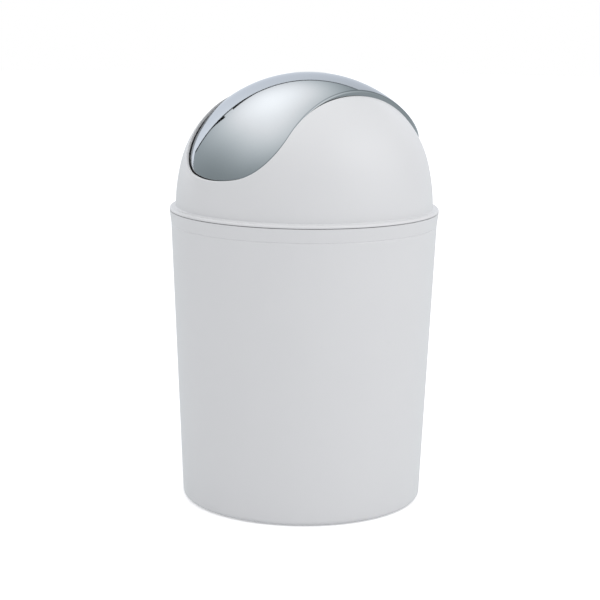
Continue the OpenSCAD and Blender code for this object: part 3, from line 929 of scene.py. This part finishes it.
# %% The metals
RIPPLE_SCALE, RIPPLE_DEPTH, FILM_SCALE = 26.0, 40e-6, 90.0
CHROME_ROUGH, FILM_ROUGH = 0.035, 0.035
RING_SCALE, RING_DEPTH, RING_ROUGH, BLOTCH_SCALE, BLOTCH_ROUGH = 3500.0, 20e-6, 0.12, 260.0, 0.08


def chrome_build(tree):
    """Mirror metal: ripples of a few hundredths of a millimetre, and a faint film."""
    where = tree.node("TexCoord", out="Object")
    ripple = tree.noise(where, RIPPLE_SCALE, detail=1.0)
    film = tree.noise(where, FILM_SCALE, detail=4.0, roughness=0.6)
    return tree.node("BsdfPrincipled", None, {
        "Base Color": tree.mix(film, (0.575, 0.590, 0.605, 1), (0.545, 0.562, 0.580, 1)),
        "Metallic": 1.0, "Specular Tint": (0.80, 0.82, 0.85, 1),
        "Roughness": CHROME_ROUGH + film * FILM_ROUGH, "Normal": tree.bump(ripple, RIPPLE_DEPTH)})


def steel(light, dark, rough):
    """Bare metal with tool rings along x and darker blotches of old oxide."""
    def build(tree):
        where = tree.node("TexCoord", out="Object")
        along_x = tree.node("SeparateXYZ", None, {"Vector": where}, out="X")
        rings = tree.node("TexNoise", {"noise_dimensions": "1D"},
                          {"W": along_x, "Scale": RING_SCALE, "Detail": 1.0})
        blotch = tree.noise(where, BLOTCH_SCALE, detail=4.0, roughness=0.6)
        return tree.node("BsdfPrincipled", None, {
            "Base Color": tree.mix(blotch, light, dark), "Metallic": 1.0,
            "Roughness": rough + rings * RING_ROUGH + blotch * BLOTCH_ROUGH,
            "Normal": tree.bump(rings, RING_DEPTH)})
    return build


chrome = finish("chrome_plating", chrome_build)
turned_steel = finish("turned_steel", steel((0.62, 0.62, 0.63, 1), (0.50, 0.50, 0.51, 1), 0.22))
rod_steel = finish("rod_steel", steel((0.46, 0.46, 0.47, 1), (0.30, 0.29, 0.28, 1), 0.36))

# %% [markdown]
# ## Who wears what
# Each finish is named once, with the beginnings of the names that wear it. The solids that
# the skins stand in for get their finish here as well, in case one is ever shown.

# %% Put the finishes on the pieces
wearers = {white_plastic: ("bucket", "lid_"), chrome: ("flap_cover",),
           liner_plastic: ("flap_liner", "flap_ear", "flap_rib"),
           turned_steel: ("pin_", "pivot_pin"), nylon: ("bush_", "pivot_bush"),
           rod_steel: ("weight_", "flap_weight")}
worn_by = {start: material for material, starts in wearers.items() for start in starts}
for piece in [o for o in bpy.data.objects if o.type == "MESH"]:
    key = next((start for start in worn_by if piece.name.startswith(start)), None)
    if key is None:
        print("no finish for", piece.name)
        continue
    if not piece.data.materials:
        piece.data.materials.append(worn_by[key])
    for material_slot in piece.material_slots:
        material_slot.material = worn_by[key]
print("finishes:", ", ".join(sorted(m.name for m in bpy.data.materials if m.users)))

# %% [markdown]
# ## The camera
# The camera stands to the right of the bin's front and a little above it, and looks slightly
# down. Its place and its field of view were found by matching outlines, so they are plain
# numbers here: a position and two directions, from which the third follows.

# %% Make the camera
SENSOR_W, FOCAL_PX, PHOTO_PX, NEAREST, FARTHEST = 36.0, 1800.843, 600.0, 0.05, 20.0


def placed(side, top, back, place):
    """Matrix that puts a camera or lamp at a place. Its columns are the directions of the
    object's own x, y and z, and the place."""
    return Matrix([[side[k], top[k], back[k], place[k]] for k in range(3)] + [[0, 0, 0, 1]])


camera_data = bpy.data.cameras.new("camera")
camera_data.sensor_fit, camera_data.sensor_width = "HORIZONTAL", SENSOR_W
camera_data.lens = SENSOR_W * FOCAL_PX / PHOTO_PX
camera_data.clip_start, camera_data.clip_end = NEAREST, FARTHEST
camera = bpy.data.objects.new("camera", camera_data)
bpy.context.scene.collection.objects.link(camera)
ahead = unit(np.array([-0.71248, 0.67514, -0.19120]))
right = unit(np.array([0.68619, 0.72733, 0.01126]))
right = unit(right - (right @ ahead) * ahead)
camera_at = (0.60396, -0.57434, 0.25552)
camera.matrix_world = placed(right, np.cross(right, ahead), -ahead, camera_at)
bpy.context.scene.camera = camera
field = 2 * np.degrees(np.arctan(0.5 * PHOTO_PX / FOCAL_PX))
print("camera", [round(v, 3) for v in camera_at], "m, field of view", round(field, 2), "degrees")

# %% [markdown]
# ## The studio
# A mirror shows the room, so the room matters more here than the lamps. Behind the bin stands
# a large white screen. It has rounded upper corners, spreads at its foot, and has a dark edge
# that is thicker in two stretches. High up, above the screen and on two other sides, are
# three big soft lights, each of which falls off with the angle from its middle. Below the
# horizon the room is a plain grey, lighter towards the screen. The world's shader paints all
# that by direction, for reflections alone. The camera itself sees plain white, and the bin is
# lit by an even, soft light that is a little stronger from above.

# %% Directions in the room
def direction(bearing, height):
    """Unit vector at a bearing from -Y towards +X, and a height above level, in degrees."""
    b, h = np.radians([bearing, height])
    return np.array([np.sin(b) * np.cos(h), -np.cos(b) * np.cos(h), np.sin(h)])


world = bpy.data.worlds.new("studio")
bpy.context.scene.world = world
room = Tree(world)
ray = room.node("TexCoord", out="Generated")


def towards(way):
    """How far the ray points along a fixed direction, from -1 to 1: their dot product."""
    return room.node("VectorMath", {"operation": "DOT_PRODUCT"}, {0: ray, 1: tuple(way)}, out="Value")


SCREEN_BEARING, UPWARDS = -133.56, (0, 0, 1)
behind = direction(SCREEN_BEARING, 0)
depth = towards(behind)
sideways = towards(np.cross(behind, UPWARDS))
height = towards(UPWARDS)
print("the screen stands towards", [round(float(v), 3) for v in behind])

# %% The screen and its dark edge
# Seen from the bin, a ray meets the screen's plane at (across, rise), in units of the
# plane's distance. The screen's border is the superellipse |across / half_w| ^ p +
# (rise / half_h) ^ p = 1, whose half width and height themselves change a little along it.
BORDER_POWER, SCREEN_HALF_W, SCREEN_H = 2.7, 0.93, 0.715
FOOT_RISE, FOOT_RATE, FOOT_SPREAD, RIGHT_SPREAD = 0.275, 9.0, 0.8, 0.35
TOP_SLOPE, TOP_MIDDLE, TOP_LIFT_FROM = 0.12, -0.15, 0.55
EDGE_T, LEFT_EXTRA, TOP_EXTRA = 0.065, 0.13, 0.09
LEFT_FROM, LEFT_TO, LEFT_RATE = -0.34, -0.11, 5.0
TOP_FROM, TOP_START, TOP_RATE = 0.03, 1.1, 3.3
REACH_LEAST, RISE_MOST, FACING_FROM = 0.001, 9, 0.02

reach = depth.clamp(REACH_LEAST, 1)
across, rise = sideways / reach, (height / reach).clamp(0, RISE_MOST)
facing = (depth > FACING_FROM) * (height > 0.0)
half_w = SCREEN_HALF_W + ((FOOT_RISE - rise) * FOOT_RATE).clamp(0, FOOT_SPREAD)
half_w = half_w + RIGHT_SPREAD * across.clamp(0, 1)
half_h = SCREEN_H - TOP_SLOPE * (across.clamp(-1, 1) - TOP_MIDDLE)
half_h = half_h + (across - TOP_LIFT_FROM).clamp(0, 1)
border = (across / half_w).size().power(BORDER_POWER) + (rise / half_h).power(BORDER_POWER)
border = border.power(1 / BORDER_POWER)
# The sum of across and rise grows along the border from the left foot over the top. The edge
# has two thick stretches along it: the first grows and ends at once, the second starts at
# once and fades.
run = across + rise
left_stretch = ((run - LEFT_FROM) * LEFT_RATE).clamp(0, 1) * (run < LEFT_TO)
top_stretch = (TOP_START - run * TOP_RATE).clamp(0, 1) * (run > TOP_FROM)
thick = EDGE_T + LEFT_EXTRA * left_stretch + TOP_EXTRA * top_stretch
screen = facing * (border < 1.0)
edge = facing * (border < 1.0 + thick)
print("screen:", SCREEN_HALF_W, "by", SCREEN_H, "of its distance, edge", EDGE_T)

# %% The soft lights and the ground
GLOW_LEVEL, GLOW_FALL, GLOW_LEAST, GLOW_MOST = 0.252, 0.793, 0.34, 2.0
GROUND_LEVEL, GROUND_RISE = 0.46, 0.34


def soft_glow(bearing, height_angle, strength, sharpness):
    """A soft light in the mirrored room: strength exp(sharpness (cos(angle from it) - 1))."""
    return strength * ((towards(direction(bearing, height_angle)) - 1) * sharpness).exp()


glow = GLOW_LEVEL - GLOW_FALL * height
glow = glow + soft_glow(bearing=-107.7, height_angle=51.0, strength=1.617, sharpness=5.723)
glow = glow + soft_glow(bearing=-23.6, height_angle=60.5, strength=1.223, sharpness=4.731)
glow = glow + soft_glow(bearing=112.0, height_angle=40.0, strength=1.3, sharpness=5.0)
ground = GROUND_LEVEL + GROUND_RISE * depth.clamp(0, 1)
glow = glow.clamp(GLOW_LEAST, GLOW_MOST) * (height > 0.0) + ground * (height < 0.0)
print("ground from", GROUND_LEVEL, "to", round(GROUND_LEVEL + GROUND_RISE, 2))

# %% Put the room together
SCREEN_LEVEL, SCREEN_FALL = 0.95, 0.34
EDGE_LEVEL, EDGE_RISE, EDGE_RISE_FROM = 0.015, 0.30, -0.35
SCREEN_TINT, SOFT_TINT, WHITE = (0.94, 0.985, 1.05, 1), (0.99, 1.0, 1.015), (1, 1, 1, 1)
DIM_TINT, LIT_TINT, TINT_RATE, TINT_START = (0.86, 0.985, 1.03, 1), (0.985, 1.0, 1.015, 1), 1.1, 0.35
AMBIENT, AMBIENT_RISE = 0.815, 0.12


def scaled(colour, strength):
    """A colour times a strength."""
    return room.node("VectorMath", {"operation": "SCALE"}, {0: colour, "Scale": strength})


edge_level = EDGE_LEVEL + (across - EDGE_RISE_FROM).clamp(0, 1.0) * EDGE_RISE
shade = screen * (SCREEN_LEVEL - SCREEN_FALL * across)
shade = shade + (1 - screen) * (edge * edge_level + (1 - edge) * glow)
around = room.mix((glow * TINT_RATE - TINT_START).clamp(0, 1), DIM_TINT, LIT_TINT)
mirrored = scaled(room.mix(screen, around, SCREEN_TINT), shade)
soft = scaled(SOFT_TINT, AMBIENT + AMBIENT_RISE * height)
seen = room.node("LightPath", out="Is Camera Ray")
glossy = room.node("LightPath", out="Is Glossy Ray")
colour = room.mix(seen, room.mix(glossy, soft, mirrored), WHITE)
background = room.node("Background", None, {"Color": colour, "Strength": 1.0})
room.node("OutputWorld", None, {"Surface": background})
print("room:", len(room.tree.nodes), "nodes")

# %% [markdown]
# ## The floor and the lamps
# The floor is a pale disc that takes the bin's shadow. A glow that only the camera sees brings
# it close to the backdrop's white without lighting the bin. Reflections miss the floor and
# see the room's plain ground. Two wide lamps from the right and from above shape the white
# body, and reflections miss them too, because the painted room has its own soft lights.

# %% Make the floor
FLOOR_R, FLOOR_SIDES, FLOOR_DROP, FLOOR_GLOW = 3.0, 96, 0.0002, 0.42


def floor_build(tree):
    """Pale floor that takes shadows: plain diffuse, plus a glow that only the camera sees."""
    where = tree.node("TexCoord", out="Object")
    cloud = tree.noise(where, scale=4.0, detail=2.0)
    pale = tree.mix(cloud, (0.86, 0.86, 0.87, 1), (0.84, 0.84, 0.85, 1))
    diffuse = tree.node("BsdfDiffuse", None, {"Color": pale})
    by_camera = tree.node("LightPath", out="Is Camera Ray")
    shine = tree.node("Emission", None, {"Color": WHITE, "Strength": by_camera * FLOOR_GLOW})
    return tree.node("AddShader", None, {0: diffuse, 1: shine})


floor_mesh = bpy.data.meshes.new("floor")
turn = np.linspace(0, 2 * np.pi, FLOOR_SIDES, endpoint=False)
disc = np.stack([FLOOR_R * np.cos(turn), FLOOR_R * np.sin(turn), 0 * turn - FLOOR_DROP], -1)
floor_mesh.from_pydata(disc.tolist(), [], [list(range(FLOOR_SIDES))])
floor = bpy.data.objects.new("floor", floor_mesh)
bpy.context.scene.collection.objects.link(floor)
floor.data.materials.append(finish("pale_floor", floor_build))
floor.visible_glossy = False
print("floor:", 2 * FLOOR_R, "m across")

# %% Make the lamps
BIN_MIDDLE = np.array([0, 0, 0.1])


def soft_light(name, bearing, height_angle, distance, size, power):
    """A square soft light that looks at the bin's middle from a bearing and a height angle in
    degrees. Distance and size are in metres, and power in watts."""
    lamp = bpy.data.lights.new(name, "AREA")
    lamp.shape, lamp.size, lamp.energy = "SQUARE", size, power
    lamp_object = bpy.data.objects.new(name, lamp)
    back = direction(bearing, height_angle)
    side = unit(np.cross(UPWARDS, back))
    lamp_object.matrix_world = placed(side, np.cross(back, side), back, back * distance + BIN_MIDDLE)
    bpy.context.scene.collection.objects.link(lamp_object)
    lamp_object.visible_camera = lamp_object.visible_glossy = False
    print(name, [round(float(v), 2) for v in back * distance + BIN_MIDDLE], "m,", power, "W")


soft_light("light_right", bearing=112, height_angle=35, distance=1.6, size=1.1, power=4.6)
soft_light("light_top", bearing=60, height_angle=80, distance=1.6, size=1.2, power=2.8)

# %% Set the view and finish
bpy.context.scene.view_settings.view_transform = "Standard"
